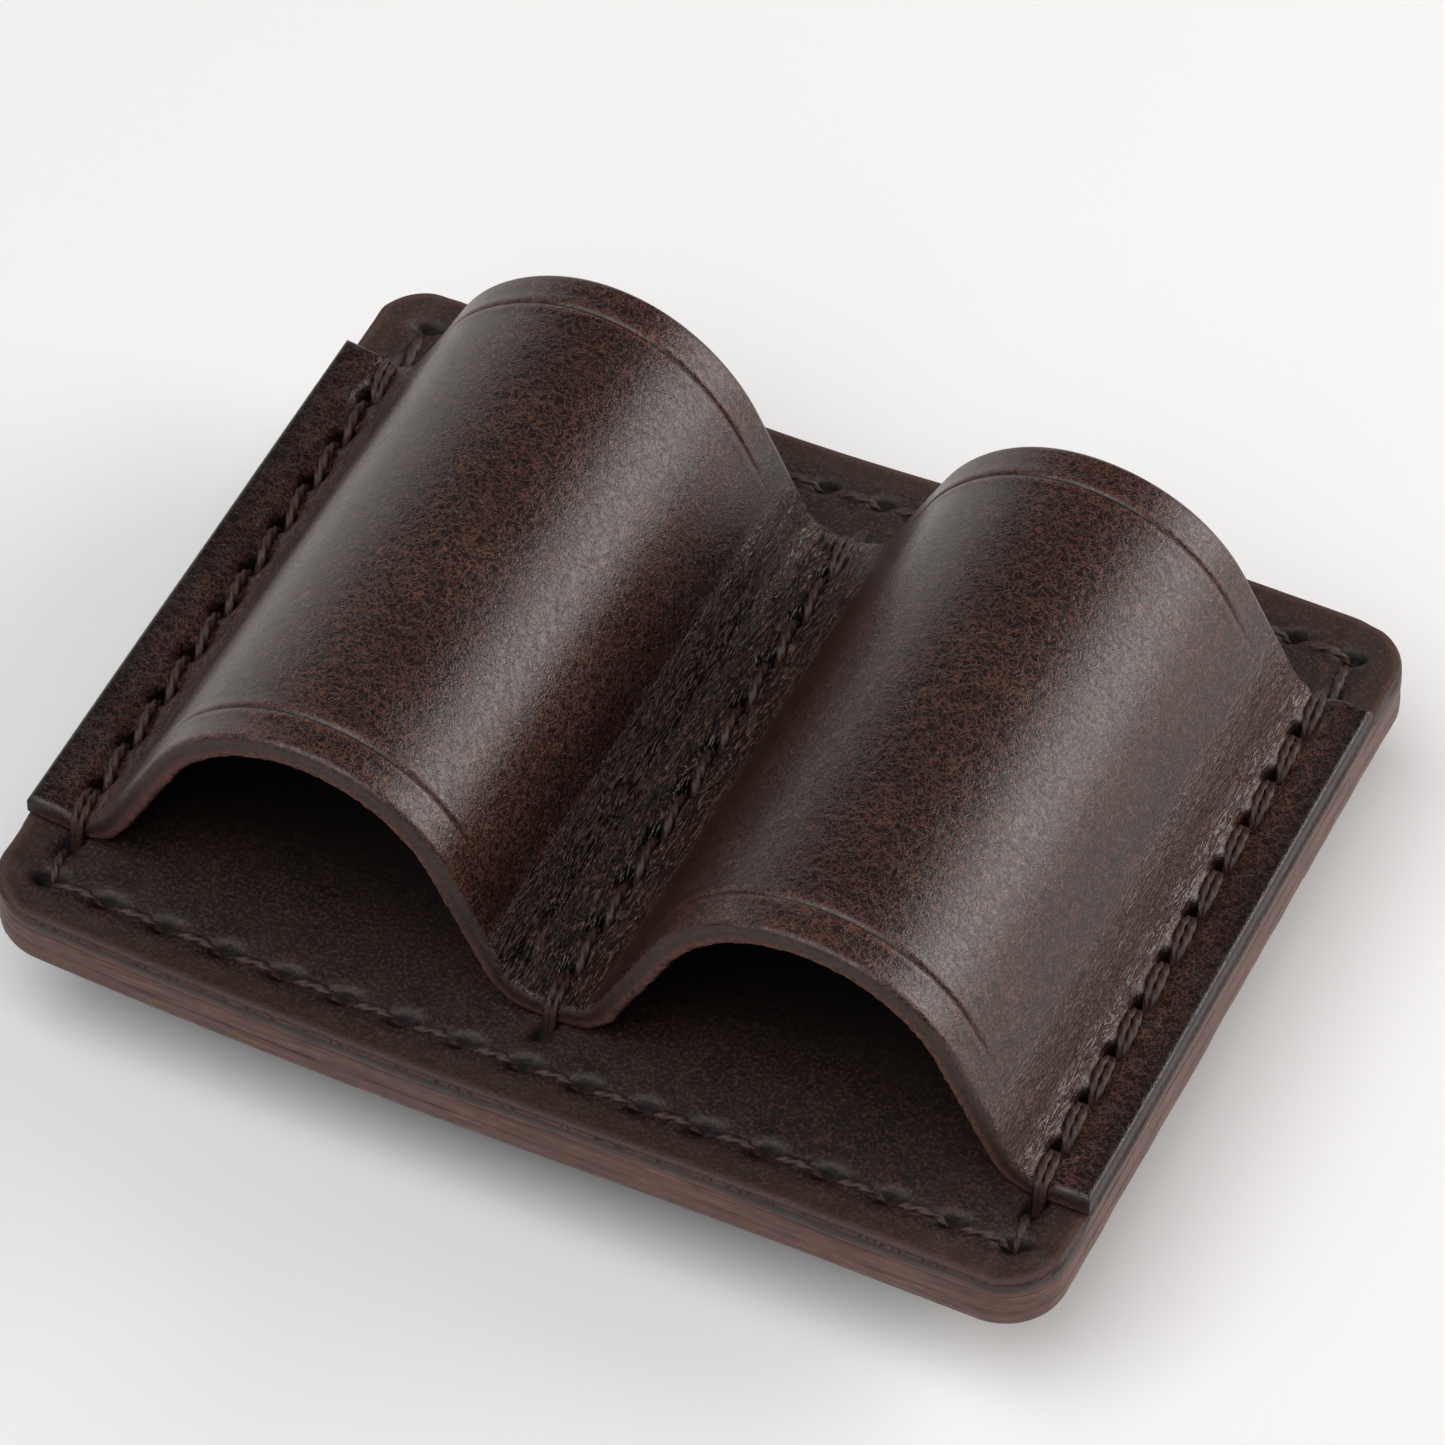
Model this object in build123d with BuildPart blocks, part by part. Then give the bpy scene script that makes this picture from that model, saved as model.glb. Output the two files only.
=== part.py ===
from build123d import *
import os
from math import cos, radians, sin, tan

os.makedirs("parts", exist_ok=True)

# Twin-tube leather holder, in millimetres. X runs along the front edge, Y from the
# front mouths to the rear ones, Z up. The origin is under the centre, on the surface
# that the back loop rests on.

# Leather, by piece
cover_leather = 1.65
front_leather = 1.2
middle_leather = 1.4
back_leather = 1.4
loop_leather = 1.8

# Base plate
base_width = 70.6
base_depth = 57.4
corner_radius = 4.0
edge_bevel = 0.4

# Moulded cover
front_margin = 6.9
rear_margin = 8.0
tunnel_spacing = 33.0
clear_height = 13.85
arch_radius = 9.75
flank_angle = 62.0
foot_radius = 2.0
mouth_bevel = 0.25
crease_inset = 2.8
crease_width = 0.5
crease_depth = 0.2

# Back loop: a strip sewn down at its front and rear tabs
belt_gap = 4.6
loop_width = 36.0
tab_length = 5.0
loop_rise_run = 3.0
loop_bend_radius = 1.2
loop_corner = 2.0

# Saddle stitching
seam_inset = 3.3
stitch_pitch = 4.0
thread_radius = 0.5
thread_clearance = 0.05
stitch_slant = 7.0
loop_seam_inset = 2.4
loop_seam_margin = 4.0
seam_gap = 1.4
cover_end_gap = 0.1

# Levels, from the resting surface up
back_bottom = loop_leather + belt_gap
back_top = back_bottom + back_leather
middle_top = back_top + middle_leather
base_top = middle_top + front_leather
flange_top = base_top + cover_leather
tab_bottom = back_bottom - loop_leather

hole_radius = thread_radius + thread_clearance
seam_x = base_width / 2 - seam_inset
seam_y = base_depth / 2 - seam_inset
tunnel_x = tunnel_spacing / 2

# The back loop's tabs end just inside the perimeter stitching
loop_end = seam_y - seam_gap
tab_end = loop_end - tab_length
band_end = tab_end - loop_rise_run
loop_seam_y = loop_end - loop_seam_inset

# The cover's cut ends stand in from the plate's front and rear edges, and the last side
# and centre holes are just outside them
cover_front = front_margin - base_depth / 2
cover_rear = base_depth / 2 - rear_margin
front_end_hole = cover_front - cover_end_gap - hole_radius
rear_end_hole = cover_rear + cover_end_gap + hole_radius

arc_height = clear_height - arch_radius
flank = radians(flank_angle)


def even_steps(start, end):
    """Hole positions from start to end, evenly spaced at about the stitch pitch."""
    count = max(1, round(abs(end - start) / stitch_pitch))
    return [start + (end - start) * step / count for step in range(count + 1)]


def cover_line(radius, level, foot):
    """One side of the cover's cross-section: two arches with flared feet, at a height above the base."""
    reach = (radius + (arc_height - level) * cos(flank)) / sin(flank)
    peak = arc_height + radius / cos(flank)
    points = [(-base_width / 2, base_top + level)]
    for centre in (-tunnel_x, tunnel_x):
        points.append((centre - reach, base_top + level))
        points.append((centre, base_top + peak))
        points.append((centre + reach, base_top + level))
    points.append((base_width / 2, base_top + level))
    return FilletPolyline(*points, radius=[foot, radius, foot, foot, radius, foot])


def rod(start, end, radius):
    """A round rod between two points."""
    axis = Vector(*end) - Vector(*start)
    plane = Plane(origin=start, z_dir=axis)
    ends = (Align.CENTER, Align.CENTER, Align.MIN)
    return plane * Cylinder(radius, axis.length, align=ends, mode=Mode.PRIVATE)


def stitch_rods(holes, level, radius):
    """The slanted bars of thread between neighbouring holes, lying at one level."""
    rods = []
    for here, there in zip(holes, holes[1:]):
        run = Vector(there[0] - here[0], there[1] - here[1])
        side = run.normalized().rotate(Axis.Z, 90) * (run.length / 2 * tan(radians(stitch_slant)))
        start = (here[0] - side.X, here[1] - side.Y, level)
        end = (there[0] + side.X, there[1] + side.Y, level)
        rods.append(rod(start, end, radius))
    return rods


def hole_rods(holes, bottom, top, radius):
    """Upright rods at the holes, from bottom to top."""
    return [rod((x, y, bottom), (x, y, top), radius) for x, y in holes]


def seam(rows, level, under, radius):
    """Every bar of a stitched line, above and below, with the thread in its holes."""
    overrun = radius if radius > thread_radius else 0
    rods = []
    for row in rows:
        rods += stitch_rods(row, level, radius)
        rods += stitch_rods(row, under, radius)
        rods += hole_rods(row, under - overrun, level + overrun, radius)
    return rods


# Stitch holes
front_row = [(x, -seam_y) for x in even_steps(-seam_x, seam_x)]
rear_row = [(x, seam_y) for x in even_steps(-seam_x, seam_x)]
plate_rows = [front_row, rear_row]
flange_rows = []
for side in (-seam_x, seam_x):
    plate_rows.append([(side, -seam_y), (side, front_end_hole)])
    plate_rows.append([(side, rear_end_hole), (side, seam_y)])
    flange_rows.append([(side, y) for y in even_steps(front_end_hole, rear_end_hole)])
centre_row = [(0, y) for y in even_steps(front_end_hole, rear_end_hole)]
loop_seam_x = loop_width / 2 - loop_seam_margin

# The centre seam ends inside the middle layer, and the loop seams inside the back panel
centre_under = back_top + thread_radius + thread_clearance / 2
loop_over = back_top - thread_radius - thread_clearance / 2


def perimeter_seam(radius):
    """The line round all four sides, which climbs over the cover's flanges."""
    plate = seam(plate_rows, base_top, back_bottom, radius)
    return plate + seam(flange_rows, flange_top, back_bottom, radius)


def centre_seam(radius):
    """The line down the valley between the tunnels."""
    return seam([centre_row], flange_top, centre_under, radius)


def loop_seam(y, radius):
    """A line across one tab of the back loop."""
    holes = [(x, y) for x in even_steps(-loop_seam_x, loop_seam_x)]
    return seam([holes], loop_over, tab_bottom, radius)


perimeter_channel = perimeter_seam(hole_radius)
centre_channel = centre_seam(hole_radius)
loop_channel = loop_seam(-loop_seam_y, hole_radius) + loop_seam(loop_seam_y, hole_radius)

with BuildPart() as front_panel:
    with BuildSketch(Plane.XY.offset(middle_top)):
        RectangleRounded(base_width, base_depth, corner_radius)
    extrude(amount=front_leather)
    # The sides stay square, because the cover's flanges are flush with them
    rim = front_panel.faces().sort_by(Axis.Z)[-1].edges()
    chamfer(rim - rim.filter_by(Axis.Y), edge_bevel)
    add(perimeter_channel + centre_channel, mode=Mode.SUBTRACT)
front_panel.part.label = "front_panel"

with BuildPart() as middle_layer:
    with BuildSketch(Plane.XY.offset(back_top)):
        RectangleRounded(base_width, base_depth, corner_radius)
    extrude(amount=middle_leather)
    add(perimeter_channel + centre_channel, mode=Mode.SUBTRACT)
middle_layer.part.label = "middle_layer"

with BuildPart() as back_panel:
    with BuildSketch(Plane.XY.offset(back_bottom)):
        RectangleRounded(base_width, base_depth, corner_radius)
    extrude(amount=back_leather)
    chamfer(back_panel.faces().sort_by(Axis.Z)[0].edges(), edge_bevel)
    add(perimeter_channel + loop_channel, mode=Mode.SUBTRACT)
back_panel.part.label = "back_panel"

with BuildPart() as moulded_cover:
    with BuildSketch(Plane.XZ.offset(-cover_rear)):
        with BuildLine():
            outer = cover_line(arch_radius + cover_leather, cover_leather, foot_radius)
            inner = cover_line(arch_radius, 0, foot_radius + cover_leather)
            Line(outer @ 0, inner @ 0)
            Line(outer @ 1, inner @ 1)
        make_face()
    extrude(amount=cover_rear - cover_front)
    flange_edges = moulded_cover.edges().filter_by(Axis.Y)
    flange_edges = flange_edges.filter_by_position(Axis.Z, flange_top - 0.01, flange_top + 0.01)
    chamfer([flange_edges.sort_by(Axis.X)[0], flange_edges.sort_by(Axis.X)[-1]], edge_bevel)
    arch_tops = moulded_cover.edges().filter_by(GeomType.CIRCLE)
    arch_tops = arch_tops.filter_by(lambda edge: abs(edge.radius - arch_radius - cover_leather) < 0.01)
    chamfer(arch_tops, mouth_bevel)
    # A pressed line runs over each arch near both mouths
    for line_y in (cover_front + crease_inset, cover_rear - crease_inset):
        with BuildSketch(Plane.XZ.offset(-line_y - crease_width / 2)):
            for centre in (-tunnel_x, tunnel_x):
                with Locations((centre, base_top + arc_height)):
                    Circle(arch_radius + cover_leather + crease_depth)
                    Circle(arch_radius + cover_leather - crease_depth, mode=Mode.SUBTRACT)
            with Locations((0, base_top + arc_height)):
                below = (Align.CENTER, Align.MAX)
                Rectangle(2 * base_width, 2 * base_width, align=below, mode=Mode.SUBTRACT)
        extrude(amount=crease_width, mode=Mode.SUBTRACT)
    add(perimeter_channel + centre_channel, mode=Mode.SUBTRACT)
moulded_cover.part.label = "moulded_cover"


def loop_line(height, inward, band_bend, tab_bend):
    """One side of the back loop's cross-section, from the front tab over the band to the rear tab."""
    points = [(-loop_end, tab_bottom + height)]
    points.append((-tab_end + inward, tab_bottom + height))
    points.append((-band_end + inward, height))
    points.append((band_end - inward, height))
    points.append((tab_end - inward, tab_bottom + height))
    points.append((loop_end, tab_bottom + height))
    return FilletPolyline(*points, radius=[tab_bend, band_bend, band_bend, tab_bend])


half_bend = Vector(loop_rise_run, belt_gap).get_angle(Vector(1, 0)) / 2
bend_shift = loop_leather * tan(radians(half_bend))

with BuildPart() as back_loop:
    with BuildSketch(Plane.YZ.offset(-loop_width / 2)):
        with BuildLine():
            under = loop_line(0, 0, loop_bend_radius + loop_leather, loop_bend_radius)
            over = loop_line(loop_leather, bend_shift, loop_bend_radius, loop_bend_radius + loop_leather)
            Line(under @ 0, over @ 0)
            Line(under @ 1, over @ 1)
        make_face()
    extrude(amount=loop_width)
    tab_corners = back_loop.edges().filter_by(Axis.Z).filter_by(lambda edge: abs(edge.center().Y) > tab_end)
    fillet(tab_corners, loop_corner)
    add(loop_channel, mode=Mode.SUBTRACT)
back_loop.part.label = "back_loop"

with BuildPart() as perimeter_thread:
    add(perimeter_seam(thread_radius))
perimeter_thread.part.label = "perimeter_thread"

with BuildPart() as centre_thread:
    add(centre_seam(thread_radius))
centre_thread.part.label = "centre_thread"

with BuildPart() as loop_thread_front:
    add(loop_seam(-loop_seam_y, thread_radius))
loop_thread_front.part.label = "loop_thread_front"

with BuildPart() as loop_thread_rear:
    add(loop_seam(loop_seam_y, thread_radius))
loop_thread_rear.part.label = "loop_thread_rear"

export_step(front_panel.part, "parts/front_panel.step")
export_step(middle_layer.part, "parts/middle_layer.step")
export_step(back_panel.part, "parts/back_panel.step")
export_step(moulded_cover.part, "parts/moulded_cover.step")
export_step(back_loop.part, "parts/back_loop.step")
export_step(perimeter_thread.part, "parts/perimeter_thread.step")
export_step(centre_thread.part, "parts/centre_thread.step")
export_step(loop_thread_front.part, "parts/loop_thread_front.step")
export_step(loop_thread_rear.part, "parts/loop_thread_rear.step")
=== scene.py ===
import math
import random

import bpy
from mathutils import Matrix, Vector, noise


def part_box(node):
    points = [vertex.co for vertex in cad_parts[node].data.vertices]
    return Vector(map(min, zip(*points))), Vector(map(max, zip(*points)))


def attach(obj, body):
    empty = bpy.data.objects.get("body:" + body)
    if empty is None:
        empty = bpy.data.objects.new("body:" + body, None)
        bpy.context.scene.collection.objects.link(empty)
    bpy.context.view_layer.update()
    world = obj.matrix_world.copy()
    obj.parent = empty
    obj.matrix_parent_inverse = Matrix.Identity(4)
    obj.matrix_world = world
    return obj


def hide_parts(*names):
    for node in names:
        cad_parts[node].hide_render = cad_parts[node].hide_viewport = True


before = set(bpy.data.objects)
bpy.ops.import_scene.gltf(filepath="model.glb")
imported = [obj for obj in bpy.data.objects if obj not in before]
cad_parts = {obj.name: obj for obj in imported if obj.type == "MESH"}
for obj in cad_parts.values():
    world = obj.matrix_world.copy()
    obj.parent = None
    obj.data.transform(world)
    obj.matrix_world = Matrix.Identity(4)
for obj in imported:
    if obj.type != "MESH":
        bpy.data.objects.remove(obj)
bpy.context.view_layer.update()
random.seed(7)
print("stage 1: the packed frame is loaded")


# All sizes are in millimetres and are turned to metres where a mesh is written
def boxInMm(node):
    low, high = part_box(node)
    return low * 1000, high * 1000


coverLow, coverHigh = boxInMm("moulded_cover")
frontLow, frontHigh = boxInMm("front_panel")
middleLow, middleHigh = boxInMm("middle_layer")
backLow, backHigh = boxInMm("back_panel")
loopLow, loopHigh = boxInMm("back_loop")

plateHalfX = frontHigh.x
plateHalfY = frontHigh.y
plateTop = frontHigh.z
plateBottom = backLow.z


def clamp(value, low=0.0, high=1.0):
    return max(low, min(high, value))


def smoothStep(value, start, end):
    share = clamp((value - start) / (end - start))
    return share * share * (3 - 2 * share)


def bell(value, width):
    return math.exp(-(value / width) ** 2)


def evenSteps(start, end, pitch):
    count = max(1, round(abs(end - start) / pitch))
    return [start + (end - start) * step / count for step in range(count + 1)]


def unevenSteps(length, stepAt):
    # from 0 to the length, with steps as long as stepAt asks for at each place
    places = [0.0]
    while places[-1] < length:
        places.append(places[-1] + stepAt(places[-1]))
    return [place * length / places[-1] for place in places]


def deselectAll():
    if bpy.context.object and bpy.context.object.mode != "OBJECT":
        bpy.ops.object.mode_set(mode="OBJECT")
    bpy.ops.object.select_all(action="DESELECT")


def makeActive(piece):
    deselectAll()
    piece.select_set(True)
    bpy.context.view_layer.objects.active = piece


# Stitch lines: where the pricking iron made the holes
stitching = {
    "inset": 3.3,          # from the plate's edges
    "pitch": 4.0,
    "endGap": 0.65,        # end holes stand this far outside the cover's cut ends
    "troughDepth": 0.3,    # the line sinks where the thread pulls
    "troughWidth": 0.7,
    "slitDepth": 1.3,
    "slitLength": 0.8,
    "slitWidth": 0.4,
    "slitTurn": 24.0,      # degrees off the line
    "pucker": 0.05,
    "loopInset": 2.4,
    "loopMargin": 4.0,
}
seamX = plateHalfX - stitching["inset"]
seamY = plateHalfY - stitching["inset"]
frontEndHole = coverLow.y - stitching["endGap"]
rearEndHole = coverHigh.y + stitching["endGap"]
rowHoles = evenSteps(-seamX, seamX, stitching["pitch"])
flangeHoles = evenSteps(frontEndHole, rearEndHole, stitching["pitch"])
loopSeamX = loopHigh.x - stitching["loopMargin"]
loopSeamY = loopHigh.y - stitching["loopInset"]
loopHoles = evenSteps(-loopSeamX, loopSeamX, stitching["pitch"])


def slitAt(along, across):
    turn = math.radians(stitching["slitTurn"])
    lengthways = along * math.cos(turn) + across * math.sin(turn)
    widthways = across * math.cos(turn) - along * math.sin(turn)
    reach = (lengthways / stitching["slitLength"]) ** 2 + (widthways / stitching["slitWidth"]) ** 2
    return stitching["slitDepth"] * math.exp(-reach) if reach < 9 else 0.0


def seamRelief(along, across, holes):
    # how far the thread's pull moves the surface of the leather beside a row of holes
    if abs(across) > 3:
        return 0.0
    pitch = holes[1] - holes[0]
    index = clamp(round((along - holes[0]) / pitch), 0, len(holes) - 1)
    offset = along - holes[int(index)]
    inRow = smoothStep(along, holes[0] - 1.6, holes[0]) * (1 - smoothStep(along, holes[-1], holes[-1] + 1.6))
    trough = stitching["troughDepth"] * bell(across, stitching["troughWidth"])
    lip = stitching["pucker"] * bell(abs(across) - 1.25, 0.55) * math.cos(2 * math.pi * offset / pitch)
    return (lip - trough) * inRow - slitAt(offset, across)


# The finished goods have settled: the plate dips a little left of its middle and its left end curls up
settling = {
    "lift": 0.7,
    "frontDip": 0.75,
    "rearDip": 1.7,
    "deepestX": -10.0,
    "leftReach": 22.0,
    "rightReach": 32.0,
}


def settleHeight(x, y, z):
    offset = x - settling["deepestX"]
    if offset < 0:
        dip = 1 - (offset / settling["leftReach"]) ** 2
    else:
        dip = math.cos(math.pi / 2 * min(offset / settling["rightReach"], 1)) ** 2
    share = (y + seamY) / (2 * seamY)
    depth = settling["frontDip"] + (settling["rearDip"] - settling["frontDip"]) * share
    raised = smoothStep(z, loopLow.z + 1.0, loopHigh.z)
    crown = clamp((z - coverLow.z) / (coverHigh.z - coverLow.z))
    return raised * (settling["lift"] - depth * dip * (1 - crown))


def settle(piece):
    for vertex in piece.data.vertices:
        x, y, z = vertex.co * 1000
        vertex.co.z += settleHeight(x, y, z) / 1000


def finishPiece(piece, slot, *nodes, smoothAngle=40):
    settle(piece)
    makeActive(piece)
    bpy.ops.object.mode_set(mode="EDIT")
    bpy.ops.mesh.select_all(action="SELECT")
    bpy.ops.mesh.normals_make_consistent(inside=False)
    bpy.ops.object.mode_set(mode="OBJECT")
    bpy.ops.object.shade_smooth_by_angle(angle=math.radians(smoothAngle))
    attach(piece, "root")
    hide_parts(*nodes)
    deselectAll()
    print("  made", piece.name, "with", len(piece.data.polygons), "faces")


# ---- materials

def hexColour(text):
    # sRGB hex to the linear colour that the shaders work in
    channels = []
    for start in (0, 2, 4):
        share = int(text[start:start + 2], 16) / 255
        channels.append(share / 12.92 if share <= 0.04045 else ((share + 0.055) / 1.055) ** 2.4)
    return (*channels, 1.0)


def addNode(tree, kind, settings=None, links=None, stops=None):
    node = tree.nodes.new(kind)
    for name, value in (settings or {}).items():
        if isinstance(name, int) or name in node.inputs:
            node.inputs[name].default_value = value
        else:
            setattr(node, name, value)
    for name, source in (links or {}).items():
        tree.links.new(source, node.inputs[name])
    if stops:
        ramp = node.color_ramp
        while len(ramp.elements) < len(stops):
            ramp.elements.new(0.5)
        for element, (place, colour) in zip(ramp.elements, stops):
            element.position = place
            element.color = colour
    return node


def grey(value):
    return (value, value, value, 1.0)


def startMaterial(name):
    material = bpy.data.materials.new(name)
    material.use_nodes = True
    tree = material.node_tree
    tree.nodes.clear()
    shader = addNode(tree, "ShaderNodeBsdfPrincipled")
    addNode(tree, "ShaderNodeOutputMaterial", None, {"Surface": shader.outputs[0]})
    return material, tree, shader


def objectMm(tree, scale=(1, 1, 1)):
    # object coordinates in millimetres, stretched where a pattern runs one way
    place = addNode(tree, "ShaderNodeTexCoord")
    size = tuple(1000 * share for share in scale)
    return addNode(tree, "ShaderNodeMapping", {"Scale": size}, {"Vector": place.outputs["Object"]}).outputs[0]


hide = {
    "dark": "0e0705",
    "middle": "24130e",
    "network": "6d4436",
    "rubbed": "4a2b22",
    "valley": "6f5449",
    # near-black, used for real stain and for painted shade in holes, creases and wrinkle grooves
    "stainAndShade": "0a0504",
    "line": 0.7,           # mm between the crooked grain lines
    "pore": 0.18,
    "patch": 9.0,
    "roughness": 0.28,
    "grainDepth": 0.045,
    "wrinkleDepth": 0.35,
}


def pullUpHide():
    # waxed pull-up cowhide: dark body, redder where grain lines and rubbing let the wax part, satin sheen
    material, tree, shader = startMaterial("waxedPullUpCowhide")
    place = addNode(tree, "ShaderNodeTexCoord").outputs["UV"]
    wearAndShade = addNode(tree, "ShaderNodeVertexColor", {"layer_name": "wearAndShade"})
    parts = addNode(tree, "ShaderNodeSeparateColor", None, {"Color": wearAndShade.outputs["Color"]})
    wander = addNode(tree, "ShaderNodeTexNoise", {"Scale": 1.3, "Detail": 2.0}, {"Vector": place})
    centred = addNode(tree, "ShaderNodeVectorMath", {"operation": "SUBTRACT", 1: (0.5, 0.5, 0.5)},
                      {0: wander.outputs["Color"]})
    pushed = addNode(tree, "ShaderNodeVectorMath", {"operation": "MULTIPLY_ADD", 1: (1.2, 1.2, 1.2)},
                     {0: centred.outputs[0], 2: place})
    patches = addNode(tree, "ShaderNodeTexNoise", {"Scale": 1 / hide["patch"], "Detail": 5.0, "Roughness": 0.65},
                      {"Vector": place})
    pores = addNode(tree, "ShaderNodeTexNoise", {"Scale": 1 / hide["pore"], "Detail": 2.0, "Roughness": 0.6},
                    {"Vector": pushed.outputs[0]})
    sets = []
    for spacing in (hide["line"], 0.55 * hide["line"]):
        field = addNode(tree, "ShaderNodeTexNoise", {"Scale": 1 / spacing, "Detail": 1.5, "Roughness": 0.5},
                        {"Vector": pushed.outputs[0]})
        fromLine = addNode(tree, "ShaderNodeMath", {"operation": "SUBTRACT", 1: 0.5}, {0: field.outputs["Fac"]})
        height = addNode(tree, "ShaderNodeMath", {"operation": "ABSOLUTE"}, {0: fromLine.outputs[0]})
        sets.append(addNode(tree, "ShaderNodeMapRange", {"From Min": 0.0, "From Max": 0.03,
                                                         "To Min": 1.0, "To Max": 0.0},
                            {"Value": height.outputs[0]}))
    lines = addNode(tree, "ShaderNodeMath", {"operation": "MAXIMUM"},
                    {0: sets[0].outputs[0], 1: sets[1].outputs[0]})
    body = addNode(tree, "ShaderNodeValToRGB", None, {0: pores.outputs["Fac"]},
                   [(0.36, hexColour(hide["dark"])), (0.64, hexColour(hide["middle"]))])
    visible = addNode(tree, "ShaderNodeValToRGB", None, {0: patches.outputs["Fac"]},
                      [(0.35, grey(0.35)), (0.65, grey(0.75))])
    lifted = addNode(tree, "ShaderNodeMath", {"operation": "MULTIPLY_ADD", 1: 0.6, "use_clamp": True},
                     {0: parts.outputs["Red"], 2: visible.outputs[0]})
    shown = addNode(tree, "ShaderNodeMath", {"operation": "MULTIPLY"},
                    {0: lines.outputs[0], 1: lifted.outputs[0]})
    netted = addNode(tree, "ShaderNodeMixRGB", {"Color2": hexColour(hide["network"])},
                     {"Fac": shown.outputs[0], "Color1": body.outputs[0]})
    speck = addNode(tree, "ShaderNodeMapRange", {"From Min": 0.35, "From Max": 0.65}, {"Value": pores.outputs["Fac"]})
    rubShare = addNode(tree, "ShaderNodeMath", {"operation": "MULTIPLY"},
                       {0: parts.outputs["Red"], 1: speck.outputs[0]})
    rubbed = addNode(tree, "ShaderNodeMixRGB", {"Color2": hexColour(hide["rubbed"])},
                     {"Fac": rubShare.outputs[0], "Color1": netted.outputs[0]})
    # lengthwise wrinkles where the green share asks for them: pale crests, with painted shade in the dark grooves
    stretched = addNode(tree, "ShaderNodeMapping", {"Scale": (1.0, 0.17, 1)}, {"Vector": place})
    fold = addNode(tree, "ShaderNodeTexNoise", {"Scale": 1.0, "Detail": 4.0, "Roughness": 0.6, "Distortion": 0.25},
                   {"Vector": stretched.outputs[0]})
    foldHeight = addNode(tree, "ShaderNodeMath", {"operation": "PINGPONG", 1: 0.05}, {0: fold.outputs["Fac"]})
    crest = addNode(tree, "ShaderNodeMapRange", {"From Min": 0.0, "From Max": 0.035, "To Min": 1.0, "To Max": 0.0},
                    {"Value": foldHeight.outputs[0]})
    grooved = addNode(tree, "ShaderNodeMixRGB", None,
                      {"Fac": crest.outputs[0]})
    grooved.inputs["Color1"].default_value = hexColour(hide["stainAndShade"])
    grooved.inputs["Color2"].default_value = hexColour(hide["valley"])
    wrinkled = addNode(tree, "ShaderNodeMixRGB", None,
                       {"Fac": parts.outputs["Green"], "Color1": rubbed.outputs[0], "Color2": grooved.outputs[0]})
    # the blue share darkens: real stain along the cut sides, painted shade in holes, crease and valley foot
    stainedAndShaded = addNode(tree, "ShaderNodeMixRGB", {"Color2": hexColour(hide["stainAndShade"])},
                      {"Fac": parts.outputs["Blue"], "Color1": wrinkled.outputs[0]})
    tree.links.new(stainedAndShaded.outputs[0], shader.inputs["Base Color"])
    gloss = addNode(tree, "ShaderNodeMapRange",
                    {"From Min": 0.3, "From Max": 0.7, "To Min": hide["roughness"] - 0.04,
                     "To Max": hide["roughness"] + 0.06},
                    {"Value": patches.outputs["Fac"]})
    tree.links.new(gloss.outputs[0], shader.inputs["Roughness"])
    relief = addNode(tree, "ShaderNodeMath", {"operation": "MULTIPLY_ADD", 1: -0.12},
                     {0: lines.outputs[0], 2: pores.outputs["Fac"]})
    folds = addNode(tree, "ShaderNodeMath", {"operation": "MULTIPLY"},
                    {0: crest.outputs[0], 1: parts.outputs["Green"]})
    wrinkleBump = addNode(tree, "ShaderNodeBump", {"Strength": 0.9, "Distance": hide["wrinkleDepth"] / 1000},
                          {"Height": folds.outputs[0]})
    bump = addNode(tree, "ShaderNodeBump", {"Strength": 0.9, "Distance": hide["grainDepth"] / 1000},
                   {"Height": relief.outputs[0], "Normal": wrinkleBump.outputs[0]})
    tree.links.new(bump.outputs[0], shader.inputs["Normal"])
    return material


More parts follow.
